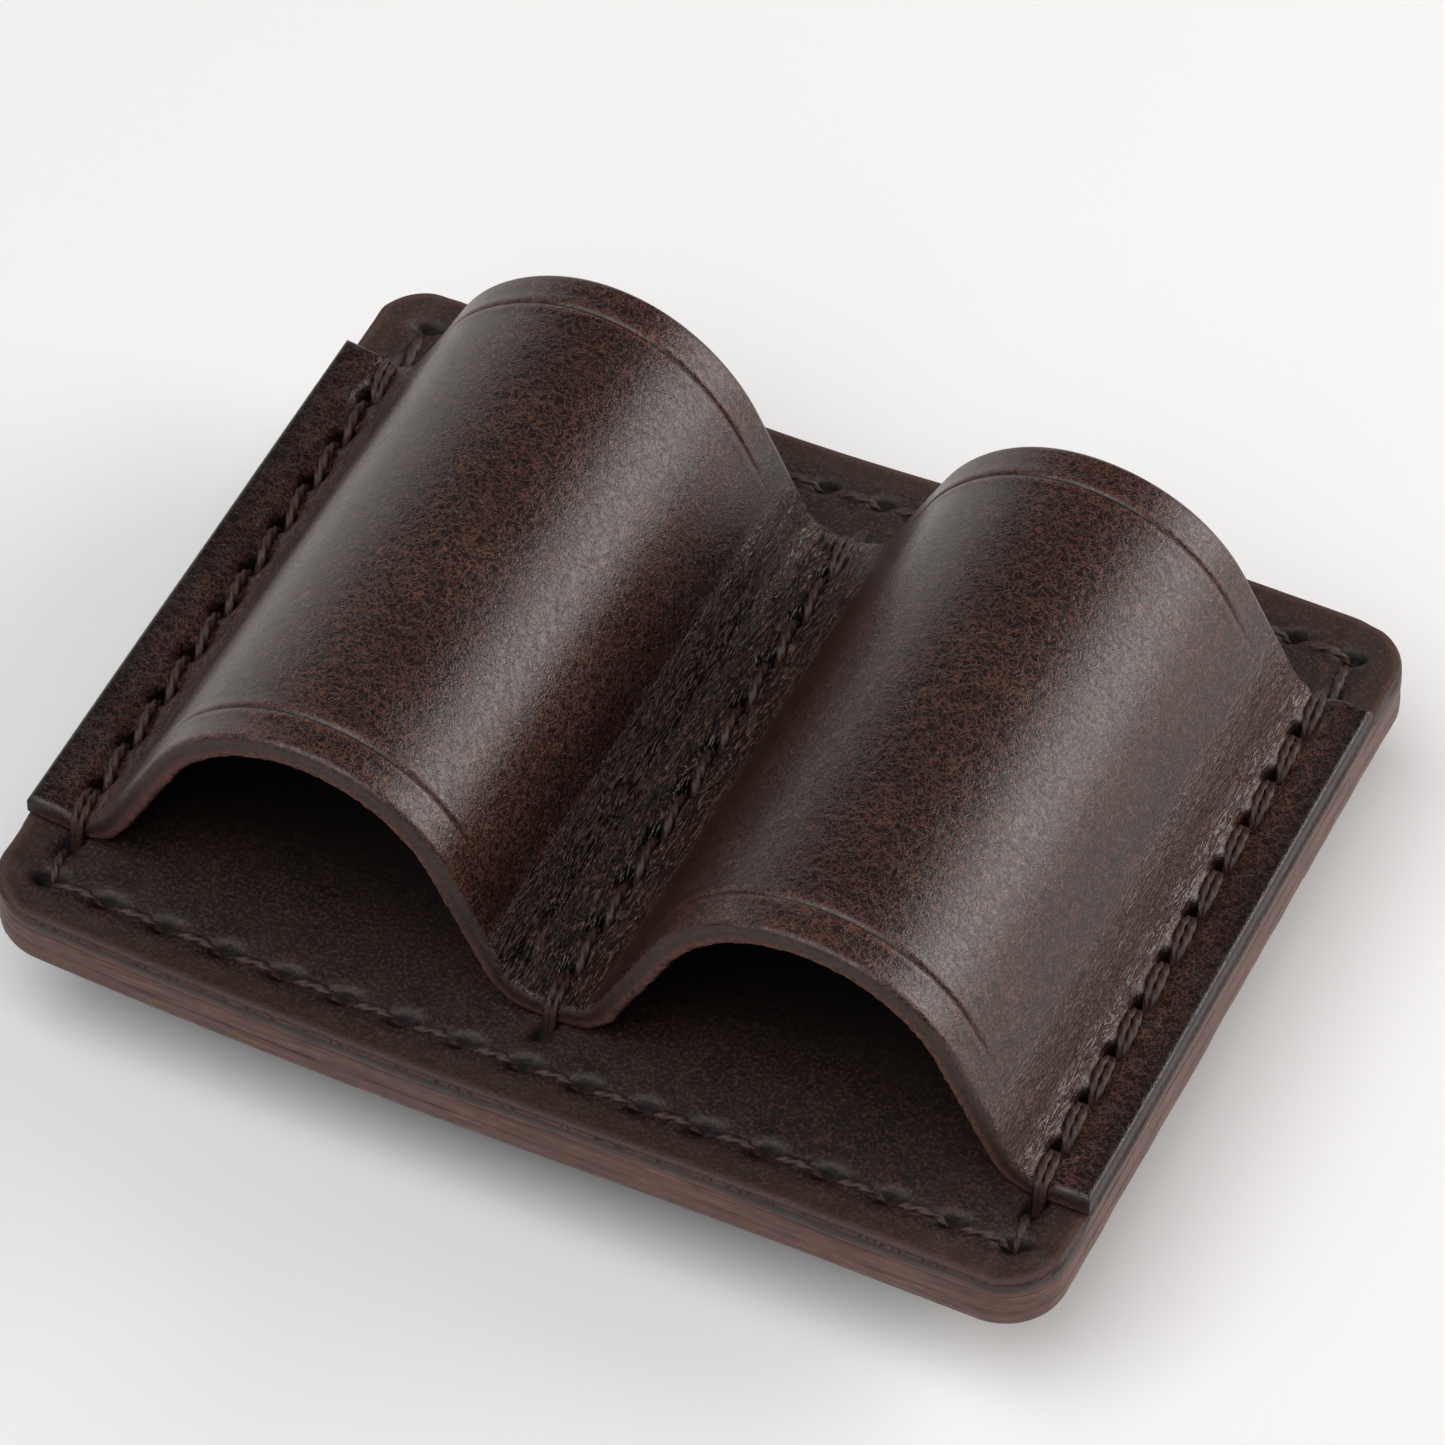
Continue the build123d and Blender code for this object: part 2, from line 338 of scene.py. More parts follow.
def panelHide(name, dark, light, roughness):
    # smoother dyed cowhide of the flat pieces: fine grain, soft olive-brown clouds
    material, tree, shader = startMaterial(name)
    place = objectMm(tree)
    wearAndShade = addNode(tree, "ShaderNodeVertexColor", {"layer_name": "wearAndShade"})
    parts = addNode(tree, "ShaderNodeSeparateColor", None, {"Color": wearAndShade.outputs["Color"]})
    clouds = addNode(tree, "ShaderNodeTexNoise", {"Scale": 0.35, "Detail": 6.0, "Roughness": 0.65},
                     {"Vector": place})
    tone = addNode(tree, "ShaderNodeValToRGB", None, {0: clouds.outputs["Fac"]},
                   [(0.34, hexColour(dark)), (0.68, hexColour(light))])
    grain = addNode(tree, "ShaderNodeTexVoronoi", {"feature": "SMOOTH_F1", "Scale": 2.6}, {"Vector": place})
    fine = addNode(tree, "ShaderNodeTexNoise", {"Scale": 4.2, "Detail": 3.0, "Roughness": 0.65}, {"Vector": place})
    speck = addNode(tree, "ShaderNodeValToRGB", None, {0: fine.outputs["Fac"]},
                    [(0.48, grey(0)), (0.64, grey(0.8))])
    speckled = addNode(tree, "ShaderNodeMixRGB", {"Color2": hexColour("4a2f24")},
                       {"Fac": speck.outputs[0], "Color1": tone.outputs[0]})
    rubbed = addNode(tree, "ShaderNodeMixRGB", {"Color2": hexColour("6b4a3d")},
                     {"Fac": parts.outputs["Red"], "Color1": speckled.outputs[0]})
    # the blue share darkens: a real darker border, painted shade in stitch dents and inside the tunnels
    stainedAndShaded = addNode(tree, "ShaderNodeMixRGB", {"Color2": hexColour("0d0807")},
                      {"Fac": parts.outputs["Blue"], "Color1": rubbed.outputs[0]})
    tree.links.new(stainedAndShaded.outputs[0], shader.inputs["Base Color"])
    height = addNode(tree, "ShaderNodeMath", {"operation": "MULTIPLY_ADD", 1: 0.5},
                     {0: grain.outputs["Distance"], 2: fine.outputs["Fac"]})
    bump = addNode(tree, "ShaderNodeBump", {"Strength": 0.8, "Distance": 0.00005},
                   {"Height": height.outputs[0]})
    tree.links.new(bump.outputs[0], shader.inputs["Normal"])
    shader.inputs["Roughness"].default_value = roughness
    shader.inputs["Specular IOR Level"].default_value = 0.4
    return material


def cutEdge(name, dark, light, streak, roughness):
    # burnished cut edge: fibres laid lengthways by the slicker, waxed, redder than the grain side
    material, tree, shader = startMaterial(name)
    layers = objectMm(tree, (0.25, 0.25, 3.2))
    plain = objectMm(tree)
    wearAndShade = addNode(tree, "ShaderNodeVertexColor", {"layer_name": "wearAndShade"})
    parts = addNode(tree, "ShaderNodeSeparateColor", None, {"Color": wearAndShade.outputs["Color"]})
    fibres = addNode(tree, "ShaderNodeTexNoise", {"Scale": 1.0, "Detail": 6.0, "Roughness": 0.7},
                     {"Vector": layers})
    tone = addNode(tree, "ShaderNodeValToRGB", None, {0: fibres.outputs["Fac"]},
                   [(0.3, hexColour(dark)), (0.6, hexColour(light)), (0.8, hexColour(streak))])
    mottle = addNode(tree, "ShaderNodeTexNoise", {"Scale": 0.9, "Detail": 5.0, "Roughness": 0.7},
                     {"Vector": plain})
    soak = addNode(tree, "ShaderNodeValToRGB", None, {0: mottle.outputs["Fac"]},
                   [(0.4, grey(0)), (0.7, grey(0.6))])
    soaked = addNode(tree, "ShaderNodeMixRGB", {"Color2": hexColour(dark)},
                     {"Fac": soak.outputs[0], "Color1": tone.outputs[0]})
    dyed = addNode(tree, "ShaderNodeMixRGB", {"Color2": hexColour("150c09")},
                   {"Fac": parts.outputs["Blue"], "Color1": soaked.outputs[0]})
    tree.links.new(dyed.outputs[0], shader.inputs["Base Color"])
    bump = addNode(tree, "ShaderNodeBump", {"Strength": 0.6, "Distance": 0.00004},
                   {"Height": fibres.outputs["Fac"]})
    tree.links.new(bump.outputs[0], shader.inputs["Normal"])
    shader.inputs["Roughness"].default_value = roughness
    return material


def coverEdgeHide():
    # cut edge of the cover: waxed smooth and grey-brown by the grain, left rough and redder by the flesh
    material, tree, shader = startMaterial("waxedCoverEdge")
    place = objectMm(tree)
    wearAndShade = addNode(tree, "ShaderNodeVertexColor", {"layer_name": "wearAndShade"})
    parts = addNode(tree, "ShaderNodeSeparateColor", None, {"Color": wearAndShade.outputs["Color"]})
    fibre = addNode(tree, "ShaderNodeTexNoise", {"Scale": 2.2, "Detail": 6.0, "Roughness": 0.7},
                    {"Vector": place})
    depth = addNode(tree, "ShaderNodeMath", {"operation": "MULTIPLY_ADD", 1: 0.9},
                    {0: fibre.outputs["Fac"], 2: wearAndShade.outputs["Alpha"]})
    finished = addNode(tree, "ShaderNodeMapRange", {"From Min": 0.75, "From Max": 1.0}, {"Value": depth.outputs[0]})
    rough = addNode(tree, "ShaderNodeValToRGB", None, {0: fibre.outputs["Fac"]},
                    [(0.35, hexColour("2a1711")), (0.68, hexColour("74483a"))])
    smooth = addNode(tree, "ShaderNodeValToRGB", None, {0: fibre.outputs["Fac"]},
                     [(0.35, hexColour("1c100c")), (0.7, hexColour("402820"))])
    banded = addNode(tree, "ShaderNodeMixRGB", None,
                     {"Fac": finished.outputs[0], "Color1": rough.outputs[0], "Color2": smooth.outputs[0]})
    # the blue share darkens: mostly real dye, with some painted shade by the left tunnel's foot
    stainedAndShaded = addNode(tree, "ShaderNodeMixRGB", {"Color2": hexColour("0e0807")},
                      {"Fac": parts.outputs["Blue"], "Color1": banded.outputs[0]})
    tree.links.new(stainedAndShaded.outputs[0], shader.inputs["Base Color"])
    gloss = addNode(tree, "ShaderNodeMapRange", {"To Min": 0.85, "To Max": 0.52}, {"Value": finished.outputs[0]})
    tree.links.new(gloss.outputs[0], shader.inputs["Roughness"])
    bump = addNode(tree, "ShaderNodeBump", {"Strength": 0.7, "Distance": 0.00008},
                   {"Height": fibre.outputs["Fac"]})
    tree.links.new(bump.outputs[0], shader.inputs["Normal"])
    return material


def fleshSide():
    # unfinished flesh side: matt, reddish, short raised fibres
    material, tree, shader = startMaterial("napFleshSide")
    place = objectMm(tree)
    nap = addNode(tree, "ShaderNodeTexNoise", {"Scale": 3.0, "Detail": 8.0, "Roughness": 0.75},
                  {"Vector": place})
    tone = addNode(tree, "ShaderNodeValToRGB", None, {0: nap.outputs["Fac"]},
                   [(0.3, hexColour("140b08")), (0.7, hexColour("38211a"))])
    tree.links.new(tone.outputs[0], shader.inputs["Base Color"])
    bump = addNode(tree, "ShaderNodeBump", {"Strength": 1.0, "Distance": 0.00012},
                   {"Height": nap.outputs["Fac"]})
    tree.links.new(bump.outputs[0], shader.inputs["Normal"])
    shader.inputs["Roughness"].default_value = 0.9
    shader.inputs["Specular IOR Level"].default_value = 0.25
    return material


def waxedThread():
    # waxed linen thread: dark brown plies with dull wax shine and paler worn crowns
    material, tree, shader = startMaterial("waxedLinenThread")
    place = objectMm(tree)
    fibre = addNode(tree, "ShaderNodeTexNoise", {"Scale": 4.5, "Detail": 5.0, "Roughness": 0.7},
                    {"Vector": place})
    tone = addNode(tree, "ShaderNodeValToRGB", None, {0: fibre.outputs["Fac"]},
                   [(0.3, hexColour("1c100c")), (0.6, hexColour("3b241b")), (0.8, hexColour("6a4536"))])
    tree.links.new(tone.outputs[0], shader.inputs["Base Color"])
    bump = addNode(tree, "ShaderNodeBump", {"Strength": 0.8, "Distance": 0.00006},
                   {"Height": fibre.outputs["Fac"]})
    tree.links.new(bump.outputs[0], shader.inputs["Normal"])
    shader.inputs["Roughness"].default_value = 0.5
    return material


coverHide = pullUpHide()
plateHide = panelHide("dyedPanelCowhide", "0d0705", "22150f", 0.55)
loopHide = panelHide("dyedLoopCowhide", "17100c", "30221a", 0.48)
plateEdge = cutEdge("burnishedPlateEdge", "3d251e", "6c473c", "947164", 0.52)
coverEdge = coverEdgeHide()
fleshHide = fleshSide()
threadWax = waxedThread()
print("stage 2: materials are ready")


# ---- moulded cover

cover = {
    "leather": 1.65,
    "tunnelX": 16.5,
    "archRadius": 11.4,        # outer
    "flankAngle": 62.0,
    "footRadius": 2.0,
    "creaseInset": 2.8,
    "creaseDepth": 0.08,
    "creaseWidth": 0.12,
    "wrinkleDepth": 0.16,
    "wrinkleSpacing": 0.6,
    "wrinkleLength": 4.0,
    "wave": 0.1,
    "endRounding": 0.5,
    "sideRounding": 0.36,
    "edgeCuts": 11,
    "lipFray": 0.22,
    "fineStep": 0.17,
    "wideStep": 0.45,
}


def coverSegments():
    # the grain side's section as lengths and curvatures, from the left edge to the right one
    flank = math.radians(cover["flankAngle"])
    flangeTop = coverLow.z + cover["leather"]
    arcCentre = coverHigh.z - cover["archRadius"] - flangeTop
    reach = (cover["archRadius"] + arcCentre * math.cos(flank)) / math.sin(flank)
    peak = arcCentre + cover["archRadius"] / math.cos(flank)
    tangent = cover["footRadius"] * math.tan(flank / 2)
    flange = coverHigh.x - cover["tunnelX"] - reach - tangent
    valley = 2 * (cover["tunnelX"] - reach - tangent)
    slope = peak / math.sin(flank) - cover["archRadius"] * math.tan(flank) - tangent
    foot = (cover["footRadius"] * flank, 1 / cover["footRadius"])
    arch = (cover["archRadius"] * 2 * flank, -1 / cover["archRadius"])
    tunnel = [foot, (slope, 0), arch, (slope, 0), foot]
    return [(flange, 0)] + tunnel + [(valley, 0)] + tunnel + [(flange, 0)]


coverSection = coverSegments()
coverWidth = sum(length for length, curve in coverSection)


def sectionPoint(distance):
    # where the grain side is after so many millimetres of leather, and which way it heads
    x = coverLow.x
    z = coverLow.z + cover["leather"]
    heading = 0.0
    for length, curve in coverSection:
        step = min(distance, length)
        if curve == 0:
            x += step * math.cos(heading)
            z += step * math.sin(heading)
        else:
            turned = heading + curve * step
            x += (math.sin(turned) - math.sin(heading)) / curve
            z += (math.cos(heading) - math.cos(turned)) / curve
            heading = turned
        distance -= step
        if distance <= 0:
            break
    return x, z, heading


def coverStep(place):
    fromSeam = min(place, coverWidth - place, abs(place - coverWidth / 2))
    if min(place, coverWidth - place) < cover["sideRounding"]:
        return 0.09
    fine = min(place, coverWidth - place) < 5.2 or abs(place - coverWidth / 2) < 5.5
    if fine:
        return cover["fineStep"]
    return min(cover["wideStep"], cover["fineStep"] + 0.06 * max(fromSeam - 5, 0))


def coverRowStep(place):
    fromEnd = min(place, coverHigh.y - coverLow.y - place)
    if abs(fromEnd - cover["creaseInset"]) < 0.4:
        return 0.08
    if fromEnd < cover["endRounding"]:
        return 0.1
    return 0.22 if fromEnd < cover["creaseInset"] else 0.24


def ridges(along, across, spacing, length):
    # fine parallel wrinkles that run along the leather, wander, and fade out
    drift = 0.5 * noise.noise(Vector((along / length, across / 3, 3.1)))
    first = noise.noise(Vector((along / length, (across + drift) / spacing, 0.0)))
    second = noise.noise(Vector((along / (0.6 * length), (across + drift) / (0.55 * spacing), 9.0)))
    return 0.5 - abs(first) - 0.5 * abs(second)


def coverRelief(distance, y):
    # returns how far the grain side moves out, and what is painted on it: rub, wrinkle, and real stain with painted
    # shade
    middle = coverWidth / 2
    fromLeft = distance - stitching["inset"]
    fromRight = coverWidth - stitching["inset"] - distance
    relief = seamRelief(y, fromLeft, flangeHoles)
    relief += seamRelief(y, -fromRight, flangeHoles)
    relief += 1.2 * seamRelief(y, distance - middle, flangeHoles)

    # the crease line pressed in near both mouths, over the arches only
    x, z, heading = sectionPoint(distance)
    over = smoothStep(z, coverLow.z + 5.5, coverLow.z + 9.5)
    frontCrease = y - (coverLow.y + cover["creaseInset"])
    rearCrease = (coverHigh.y - cover["creaseInset"]) - y
    fromCrease = min(abs(frontCrease), abs(rearCrease))
    relief -= cover["creaseDepth"] * bell(fromCrease, cover["creaseWidth"]) * over
    relief += 0.05 * bell(fromCrease - 0.45, 0.3) * over

    # wrinkles where the leather was pushed down between the tunnels, strongest on the left one's foot
    side = distance - middle
    inValley = smoothStep(side, -6.4, -3.6) * (1 - smoothStep(side, 1.4, 4.2))
    if inValley > 0:
        inValley *= 1 if side < 0.6 else 0.75
        relief += cover["wrinkleDepth"] * inValley * ridges(y, distance, cover["wrinkleSpacing"],
                                                            cover["wrinkleLength"])

    # short wrinkles that fan up the flanks from the side stitches
    fan = smoothStep(distance, coverWidth - 10, coverWidth - 6)
    fan *= 1 - smoothStep(distance, coverWidth - 4.6, coverWidth - 3.8)
    leftFan = (1 - smoothStep(distance, 5.2, 7.5)) * smoothStep(distance, 3.8, 4.6)
    fan = max(fan, 0.6 * leftFan)
    if fan > 0:
        relief += 0.06 * fan * ridges(distance, y + 0.45 * distance, 0.8, 2.2)

    relief += cover["wave"] * noise.noise(Vector((x / 9, y / 16, z / 9)))

    toEnd = min(y - coverLow.y, coverHigh.y - y)
    rub = 0.8 * bell(fromCrease - 0.32, 0.2) * over + 0.35 * bell(toEnd - 0.6, 0.8) * over
    rub += 0.3 * smoothStep(abs(math.degrees(heading)), 35, 60) * over + 0.7 * fan
    holes = -seamRelief(y, fromLeft, flangeHoles) - seamRelief(y, -fromRight, flangeHoles)
    holes -= seamRelief(y, side, flangeHoles)
    crease = bell(fromCrease, 0.1) * over
    toSide = min(distance, coverWidth - distance)
    # darker: painted shade in the stitch holes, in the crease line and at the left tunnel's right foot, real dye
    # along the cut sides
    stainAndShade = smoothStep(holes, 0.28, 0.55) + 0.4 * crease + 0.7 * bell(toSide, 1.2)
    stainAndShade += 0.4 * bell(side + 7.5, 1.8)
    return relief, (clamp(rub), clamp(inValley + 0.3 * fan), clamp(stainAndShade))


def addSheet(name, columns, rows):
    # a grid of leather, with its columns and rows numbered by the vertices' places
    deselectAll()
    bpy.ops.mesh.primitive_grid_add(x_subdivisions=len(columns) - 1, y_subdivisions=len(rows) - 1, size=1)
    sheet = bpy.context.object
    sheet.name = name
    sheet.data.name = name
    return sheet


def mouldSheet(sheet, columns, rows, mould):
    # mould(across, along) gives the place in millimetres, the wear with painted shade, and the place on the flat hide
    mesh = sheet.data
    wearAndShade = []
    flat = []
    for vertex in mesh.vertices:
        column = round((vertex.co.x + 0.5) * (len(columns) - 1))
        row = round((vertex.co.y + 0.5) * (len(rows) - 1))
        place, wornAndShaded = mould(columns[column], rows[row])
        vertex.co = place / 1000
        wearAndShade.extend((*wornAndShaded, 1.0))
        flat.append((columns[column], rows[row]))
    layer = mesh.color_attributes.new("wearAndShade", "FLOAT_COLOR", "POINT")
    layer.data.foreach_set("color", wearAndShade)
    spread = mesh.uv_layers.active.data
    for loop in mesh.loops:
        spread[loop.index].uv = flat[loop.vertex_index]


def thinHidden(piece, chosen, share):
    # fewer faces where nothing is seen
    makeActive(piece)
    for polygon in piece.data.polygons:
        polygon.select = chosen(polygon)
    bpy.ops.object.mode_set(mode="EDIT")
    bpy.ops.mesh.select_mode(type="FACE")
    bpy.ops.mesh.decimate(ratio=share)
    bpy.ops.mesh.select_all(action="DESELECT")
    bpy.ops.object.mode_set(mode="OBJECT")


def applyModifier(piece, kind, **settings):
    makeActive(piece)
    modifier = piece.modifiers.new(kind.lower(), kind)
    for name, value in settings.items():
        setattr(modifier, name, value)
    bpy.ops.object.modifier_apply(modifier=modifier.name)


def markDepth(piece, grainCount):
    # the wear-and-shade layer's alpha says how near the grain side a vertex is: 1 on it, 0 on the flesh side
    layer = piece.data.color_attributes["wearAndShade"].data
    for index in range(grainCount, len(layer)):
        colour = layer[index].color
        layer[index].color = (colour[0], colour[1], colour[2], 0.0)


def bevelRim(piece, rounding):
    # takes the sharpness off both corners of the cut edge
    mesh = piece.data
    faces = {}
    for polygon in mesh.polygons:
        for key in polygon.edge_keys:
            faces.setdefault(key, set()).add(polygon.material_index)
    weights = mesh.attributes.new("bevel_weight_edge", "FLOAT", "EDGE")
    for edge in mesh.edges:
        kinds = faces[edge.key]
        weights.data[edge.index].value = 1.0 if 2 in kinds and len(kinds) > 1 else 0.0
    applyModifier(piece, "BEVEL", width=rounding / 1000, segments=2, limit_method="WEIGHT")


def roundedPlace(fromEdge, depth, radius):
    # slides a point of the square cut edge onto its rounded corners; depth is from the grain side
    upper = depth < cover["leather"] / 2
    under = depth if upper else cover["leather"] - depth
    inward = radius - fromEdge
    upward = radius - under
    if inward <= 0 or upward <= 0:
        return fromEdge, depth
    newInward = inward * math.sqrt(1 - upward ** 2 / (2 * radius ** 2))
    newUpward = upward * math.sqrt(1 - inward ** 2 / (2 * radius ** 2))
    under = radius - newUpward
    return radius - newInward, under if upper else cover["leather"] - under


def cutFlatCover(columns, rows):
    # the cover as it is cut from the hide: flat, with its thickness, and with rings round its cut edge
    piece = addSheet("mouldedCover", columns, rows)
    for vertex in piece.data.vertices:
        column = round((vertex.co.x + 0.5) * (len(columns) - 1))
        row = round((vertex.co.y + 0.5) * (len(rows) - 1))
        vertex.co = Vector((columns[column], rows[row], 0)) / 1000
    for material in (coverHide, fleshHide, coverEdge):
        piece.data.materials.append(material)
    applyModifier(piece, "SOLIDIFY", thickness=cover["leather"] / 1000, offset=-1.0,
                  material_offset=1, material_offset_rim=2)
    mesh = piece.data
    for group in (mesh.polygons, mesh.vertices):
        group.foreach_set("select", [False] * len(group))
    for edge in mesh.edges:
        first, second = (mesh.vertices[index].co for index in edge.vertices)
        edge.select = abs(first.z - second.z) > 0.0001
    bpy.ops.object.mode_set(mode="EDIT")
    bpy.ops.mesh.select_mode(type="EDGE")
    bpy.ops.mesh.subdivide(number_cuts=cover["edgeCuts"])
    bpy.ops.object.mode_set(mode="OBJECT")
    return piece


def mouldCover():
    columns = unevenSteps(coverWidth, coverStep)
    rows = [coverLow.y + place for place in unevenSteps(coverHigh.y - coverLow.y, coverRowStep)]
    piece = cutFlatCover(columns, rows)
    mesh = piece.data
    spread = mesh.uv_layers.active.data
    for loop in mesh.loops:
        flat = mesh.vertices[loop.vertex_index].co * 1000
        spread[loop.index].uv = (flat.x, flat.y)

    wearAndShade = []
    for vertex in mesh.vertices:
        distance, y, height = vertex.co * 1000
        depth = -height
        toEnd = min(y - coverLow.y, coverHigh.y - y)
        toSide = min(distance, coverWidth - distance)
        newEnd, depth = roundedPlace(toEnd, depth, cover["endRounding"])
        newSide, depth = roundedPlace(toSide, depth, cover["sideRounding"])
        y += newEnd - toEnd if y < 0 else toEnd - newEnd
        distance += newSide - toSide if distance < coverWidth / 2 else toSide - newSide
        x, z, heading = sectionPoint(distance)
        nearGrain = clamp(1 - depth / cover["leather"])
        relief, wornAndShaded = (0.0, (0.0, 0.0, 0.0))
        if nearGrain > 0.01:
            relief, wornAndShaded = coverRelief(distance, y)
        push = relief * nearGrain - depth
        if newEnd < 0.6 and nearGrain < 0.55:
            push += cover["lipFray"] * (0.55 - nearGrain) * noise.noise(Vector((x / 0.4, z / 0.4, y)))
        outward = Vector((-math.sin(heading), 0, math.cos(heading)))
        vertex.co = (Vector((x, y, z)) + outward * push) / 1000
        wearAndShade.extend((*wornAndShaded, nearGrain))
    layer = mesh.color_attributes.new("wearAndShade", "FLOAT_COLOR", "POINT")
    layer.data.foreach_set("color", wearAndShade)
    inset = 0.8 / 1000
    ends = (coverLow.y / 1000 + inset, coverHigh.y / 1000 - inset)
    sides = coverHigh.x / 1000 - inset
    thinHidden(piece, lambda face: face.material_index == 1 and ends[0] < face.center.y < ends[1]
               and abs(face.center.x) < sides, 0.16)
    finishPiece(piece, "cover_leather", "moulded_cover")


mouldCover()
print("stage 3: the cover is moulded")


# ---- the plate's three layers

plate = {
    "cornerRadius": 4.0,
    "rounding": 0.42,
    "wallRings": 6,
    "dyeDepth": 0.95,          # how far the dark dye runs down the cut edge
    "wave": 0.06,
    "fineStep": 0.17,
    "rowStep": 0.24,
    "wideStep": 0.7,
    "glueLine": 0.02,
}


def edgeDistance(x, y):
    insideX = plateHalfX - plate["cornerRadius"]
    insideY = plateHalfY - plate["cornerRadius"]
    overX = abs(x) - insideX
    overY = abs(y) - insideY
    if overX > 0 and overY > 0:
        return plate["cornerRadius"] - math.hypot(overX, overY)
    return min(plateHalfX - abs(x), plateHalfY - abs(y))


def roundCorner(x, y):
    # squeezes the square corner of the grid into the rounded corner
    radius = plate["cornerRadius"]
    overX = abs(x) - (plateHalfX - radius)
    overY = abs(y) - (plateHalfY - radius)
    if overX <= 0 or overY <= 0:
        return x, y
    newX = overX * math.sqrt(1 - overY ** 2 / (2 * radius ** 2))
    newY = overY * math.sqrt(1 - overX ** 2 / (2 * radius ** 2))
    return (math.copysign(plateHalfX - radius + newX, x), math.copysign(plateHalfY - radius + newY, y))


def nearEdgeSteps(half, fine, wide):
    def step(place):
        fromEdge = min(place, 2 * half - place)
        if fromEdge < plate["rounding"]:
            return 0.07
        return fine if fromEdge < 5.2 else wide
    return [place - half for place in unevenSteps(2 * half, step)]


def underFlange(x, y):
    # 1 along the sides where the cover lies flush on the plate
    inSpan = smoothStep(y, coverLow.y - 0.5, coverLow.y + 0.2) * (1 - smoothStep(y, coverHigh.y - 0.2, coverHigh.y + 0.5))
    return inSpan * smoothStep(abs(x), plateHalfX - 3.0, plateHalfX - 1.5)


def shadeInsideTunnel(x, y):
    # 1 well inside the tunnels, where the plate is painted dark as shade
    inside = min(y - coverLow.y, coverHigh.y - y)
    return smoothStep(inside, 1.0, 9.0) * (1 - smoothStep(abs(abs(x) - cover["tunnelX"]), 12.0, 14.0))


def frontRelief(x, y):
    relief = 0.75 * seamRelief(x, y + seamY, rowHoles)
    relief += 0.75 * seamRelief(x, y - seamY, rowHoles)
    relief += 0.4 * stitching["troughDepth"] * bell(abs(y) - seamY, stitching["troughWidth"])
    for holeX in (-seamX, 0.0, seamX):
        for holeY in (frontEndHole, rearEndHole):
            if abs(x - holeX) < 2 and abs(y - holeY) < 2:
                relief -= slitAt(y - holeY, x - holeX)
    for side in (-seamX, seamX):
        if abs(y) > coverHigh.y and abs(x - side) < 2:
            relief -= 0.5 * stitching["troughDepth"] * bell(x - side, stitching["troughWidth"])
    return relief


def backRelief(x, y):
    relief = seamRelief(x, y + seamY, rowHoles)
    relief += seamRelief(x, y - seamY, rowHoles)
    relief += seamRelief(y, x + seamX, [-seamY] + flangeHoles[1:-1] + [seamY])
    relief += seamRelief(y, x - seamX, [-seamY] + flangeHoles[1:-1] + [seamY])
    return relief


